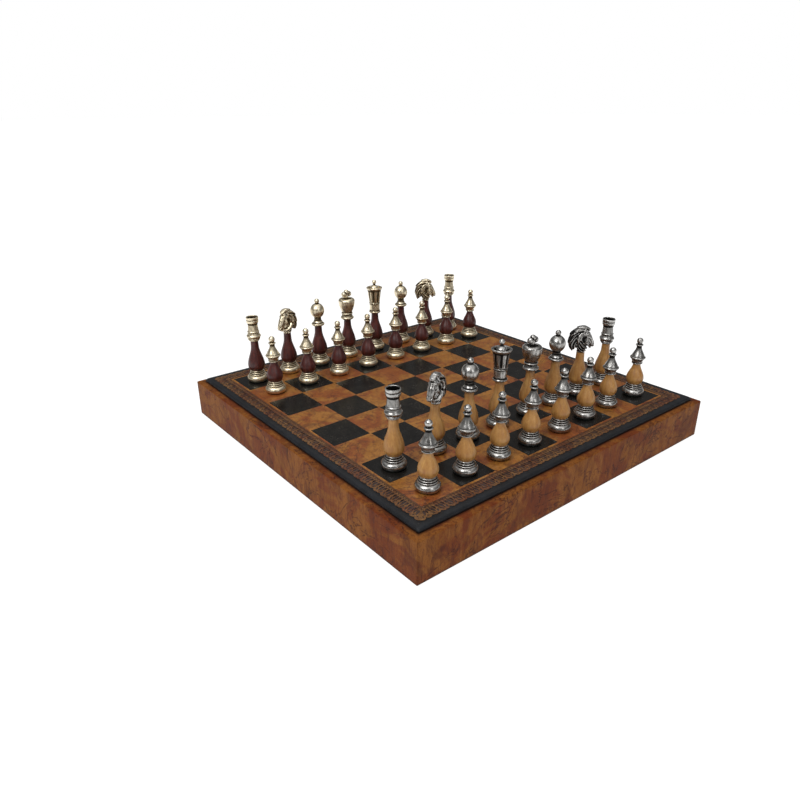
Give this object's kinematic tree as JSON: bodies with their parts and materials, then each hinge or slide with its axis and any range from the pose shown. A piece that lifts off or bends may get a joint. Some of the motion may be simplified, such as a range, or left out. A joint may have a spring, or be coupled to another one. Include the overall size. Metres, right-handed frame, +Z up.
{
  "type": "chess set with board",
  "caption": "Chess set of metal and wood men on a stamped leather board that lifts off a leatherette storage box with lined bays.",
  "frame": {"origin": "centre of the box's underside", "axes": "+Z up; +Y from the silver army to the gold army; +X along the ranks, to the right as seen from the silver side"},
  "size_m": [0.351, 0.351, 0.119],
  "materials": {
    "box_wood": "raw board under the covering",
    "box_leatherette": "mottled tan and red-brown leatherette, semi-matt",
    "velvet": "short green pile",
    "baize": "green felt",
    "board_leather": "mottled tan leather with a stamped border, semi-gloss",
    "black_leather": "black grained leather, semi-gloss",
    "silver_metal": "antiqued silver plating, dark in the recesses",
    "gold_metal": "antiqued pale gold plating, brown in the recesses",
    "light_wood": "light varnished wood",
    "dark_wood": "dark red-brown varnished wood"
  },
  "bodies": {
    "box": {"box_floor": "box_wood", "box_walls": "box_wood", "box_cover": "box_leatherette", "box_dividers": "velvet", "box_lining": "velvet", "box_baize": "baize"},
    "board": {"board_panel": "box_wood", "board_leather": "board_leather", "board_dark_squares": "black_leather", "board_edge_roll": "black_leather", "board_cleats": "velvet", "board_underlay": "velvet"},
    "silver_rook_1": {"silver_rook_1_metal": "silver_metal", "silver_rook_1_stem": "light_wood"},
    "silver_knight_1": {"silver_knight_1_metal": "silver_metal", "silver_knight_1_stem": "light_wood"},
    "silver_bishop_1": {"silver_bishop_1_metal": "silver_metal", "silver_bishop_1_stem": "light_wood"},
    "silver_queen": {"silver_queen_metal": "silver_metal", "silver_queen_stem": "light_wood"},
    "silver_king": {"silver_king_metal": "silver_metal", "silver_king_stem": "light_wood"},
    "silver_bishop_2": {"silver_bishop_2_metal": "silver_metal", "silver_bishop_2_stem": "light_wood"},
    "silver_knight_2": {"silver_knight_2_metal": "silver_metal", "silver_knight_2_stem": "light_wood"},
    "silver_rook_2": {"silver_rook_2_metal": "silver_metal", "silver_rook_2_stem": "light_wood"},
    "silver_pawn_1": {"silver_pawn_1": "silver_metal"},
    "silver_pawn_2": {"silver_pawn_2": "silver_metal"},
    "silver_pawn_3": {"silver_pawn_3": "silver_metal"},
    "silver_pawn_4": {"silver_pawn_4": "silver_metal"},
    "silver_pawn_5": {"silver_pawn_5": "silver_metal"},
    "silver_pawn_6": {"silver_pawn_6": "silver_metal"},
    "silver_pawn_7": {"silver_pawn_7": "silver_metal"},
    "silver_pawn_8": {"silver_pawn_8": "silver_metal"},
    "gold_rook_1": {"gold_rook_1_metal": "gold_metal", "gold_rook_1_stem": "dark_wood"},
    "gold_knight_1": {"gold_knight_1_metal": "gold_metal", "gold_knight_1_stem": "dark_wood"},
    "gold_bishop_1": {"gold_bishop_1_metal": "gold_metal", "gold_bishop_1_stem": "dark_wood"},
    "gold_king": {"gold_king_metal": "gold_metal", "gold_king_stem": "dark_wood"},
    "gold_queen": {"gold_queen_metal": "gold_metal", "gold_queen_stem": "dark_wood"},
    "gold_bishop_2": {"gold_bishop_2_metal": "gold_metal", "gold_bishop_2_stem": "dark_wood"},
    "gold_knight_2": {"gold_knight_2_metal": "gold_metal", "gold_knight_2_stem": "dark_wood"},
    "gold_rook_2": {"gold_rook_2_metal": "gold_metal", "gold_rook_2_stem": "dark_wood"},
    "gold_pawn_1": {"gold_pawn_1": "gold_metal"},
    "gold_pawn_2": {"gold_pawn_2": "gold_metal"},
    "gold_pawn_3": {"gold_pawn_3": "gold_metal"},
    "gold_pawn_4": {"gold_pawn_4": "gold_metal"},
    "gold_pawn_5": {"gold_pawn_5": "gold_metal"},
    "gold_pawn_6": {"gold_pawn_6": "gold_metal"},
    "gold_pawn_7": {"gold_pawn_7": "gold_metal"},
    "gold_pawn_8": {"gold_pawn_8": "gold_metal"}
  },
  "joints": [
    {"name": "board_lift", "type": "slide", "parent": "box", "child": "board", "axis": [0, 0, 1], "range_m": [0, 0.12]},
    {"name": "silver_rook_1_lift", "type": "slide", "parent": "board", "child": "silver_rook_1", "axis": [0, 0, 1], "range_m": [0, 0.09]},
    {"name": "silver_knight_1_lift", "type": "slide", "parent": "board", "child": "silver_knight_1", "axis": [0, 0, 1], "range_m": [0, 0.09]},
    {"name": "silver_bishop_1_lift", "type": "slide", "parent": "board", "child": "silver_bishop_1", "axis": [0, 0, 1], "range_m": [0, 0.09]},
    {"name": "silver_queen_lift", "type": "slide", "parent": "board", "child": "silver_queen", "axis": [0, 0, 1], "range_m": [0, 0.09]},
    {"name": "silver_king_lift", "type": "slide", "parent": "board", "child": "silver_king", "axis": [0, 0, 1], "range_m": [0, 0.09]},
    {"name": "silver_bishop_2_lift", "type": "slide", "parent": "board", "child": "silver_bishop_2", "axis": [0, 0, 1], "range_m": [0, 0.09]},
    {"name": "silver_knight_2_lift", "type": "slide", "parent": "board", "child": "silver_knight_2", "axis": [0, 0, 1], "range_m": [0, 0.09]},
    {"name": "silver_rook_2_lift", "type": "slide", "parent": "board", "child": "silver_rook_2", "axis": [0, 0, 1], "range_m": [0, 0.09]},
    {"name": "silver_pawn_1_lift", "type": "slide", "parent": "board", "child": "silver_pawn_1", "axis": [0, 0, 1], "range_m": [0, 0.09]},
    {"name": "silver_pawn_2_lift", "type": "slide", "parent": "board", "child": "silver_pawn_2", "axis": [0, 0, 1], "range_m": [0, 0.09]},
    {"name": "silver_pawn_3_lift", "type": "slide", "parent": "board", "child": "silver_pawn_3", "axis": [0, 0, 1], "range_m": [0, 0.09]},
    {"name": "silver_pawn_4_lift", "type": "slide", "parent": "board", "child": "silver_pawn_4", "axis": [0, 0, 1], "range_m": [0, 0.09]},
    {"name": "silver_pawn_5_lift", "type": "slide", "parent": "board", "child": "silver_pawn_5", "axis": [0, 0, 1], "range_m": [0, 0.09]},
    {"name": "silver_pawn_6_lift", "type": "slide", "parent": "board", "child": "silver_pawn_6", "axis": [0, 0, 1], "range_m": [0, 0.09]},
    {"name": "silver_pawn_7_lift", "type": "slide", "parent": "board", "child": "silver_pawn_7", "axis": [0, 0, 1], "range_m": [0, 0.09]},
    {"name": "silver_pawn_8_lift", "type": "slide", "parent": "board", "child": "silver_pawn_8", "axis": [0, 0, 1], "range_m": [0, 0.09]},
    {"name": "gold_rook_1_lift", "type": "slide", "parent": "board", "child": "gold_rook_1", "axis": [0, 0, 1], "range_m": [0, 0.09]},
    {"name": "gold_knight_1_lift", "type": "slide", "parent": "board", "child": "gold_knight_1", "axis": [0, 0, 1], "range_m": [0, 0.09]},
    {"name": "gold_bishop_1_lift", "type": "slide", "parent": "board", "child": "gold_bishop_1", "axis": [0, 0, 1], "range_m": [0, 0.09]},
    {"name": "gold_king_lift", "type": "slide", "parent": "board", "child": "gold_king", "axis": [0, 0, 1], "range_m": [0, 0.09]},
    {"name": "gold_queen_lift", "type": "slide", "parent": "board", "child": "gold_queen", "axis": [0, 0, 1], "range_m": [0, 0.09]},
    {"name": "gold_bishop_2_lift", "type": "slide", "parent": "board", "child": "gold_bishop_2", "axis": [0, 0, 1], "range_m": [0, 0.09]},
    {"name": "gold_knight_2_lift", "type": "slide", "parent": "board", "child": "gold_knight_2", "axis": [0, 0, 1], "range_m": [0, 0.09]},
    {"name": "gold_rook_2_lift", "type": "slide", "parent": "board", "child": "gold_rook_2", "axis": [0, 0, 1], "range_m": [0, 0.09]},
    {"name": "gold_pawn_1_lift", "type": "slide", "parent": "board", "child": "gold_pawn_1", "axis": [0, 0, 1], "range_m": [0, 0.09]},
    {"name": "gold_pawn_2_lift", "type": "slide", "parent": "board", "child": "gold_pawn_2", "axis": [0, 0, 1], "range_m": [0, 0.09]},
    {"name": "gold_pawn_3_lift", "type": "slide", "parent": "board", "child": "gold_pawn_3", "axis": [0, 0, 1], "range_m": [0, 0.09]},
    {"name": "gold_pawn_4_lift", "type": "slide", "parent": "board", "child": "gold_pawn_4", "axis": [0, 0, 1], "range_m": [0, 0.09]},
    {"name": "gold_pawn_5_lift", "type": "slide", "parent": "board", "child": "gold_pawn_5", "axis": [0, 0, 1], "range_m": [0, 0.09]},
    {"name": "gold_pawn_6_lift", "type": "slide", "parent": "board", "child": "gold_pawn_6", "axis": [0, 0, 1], "range_m": [0, 0.09]},
    {"name": "gold_pawn_7_lift", "type": "slide", "parent": "board", "child": "gold_pawn_7", "axis": [0, 0, 1], "range_m": [0, 0.09]},
    {"name": "gold_pawn_8_lift", "type": "slide", "parent": "board", "child": "gold_pawn_8", "axis": [0, 0, 1], "range_m": [0, 0.09]}
  ]
}
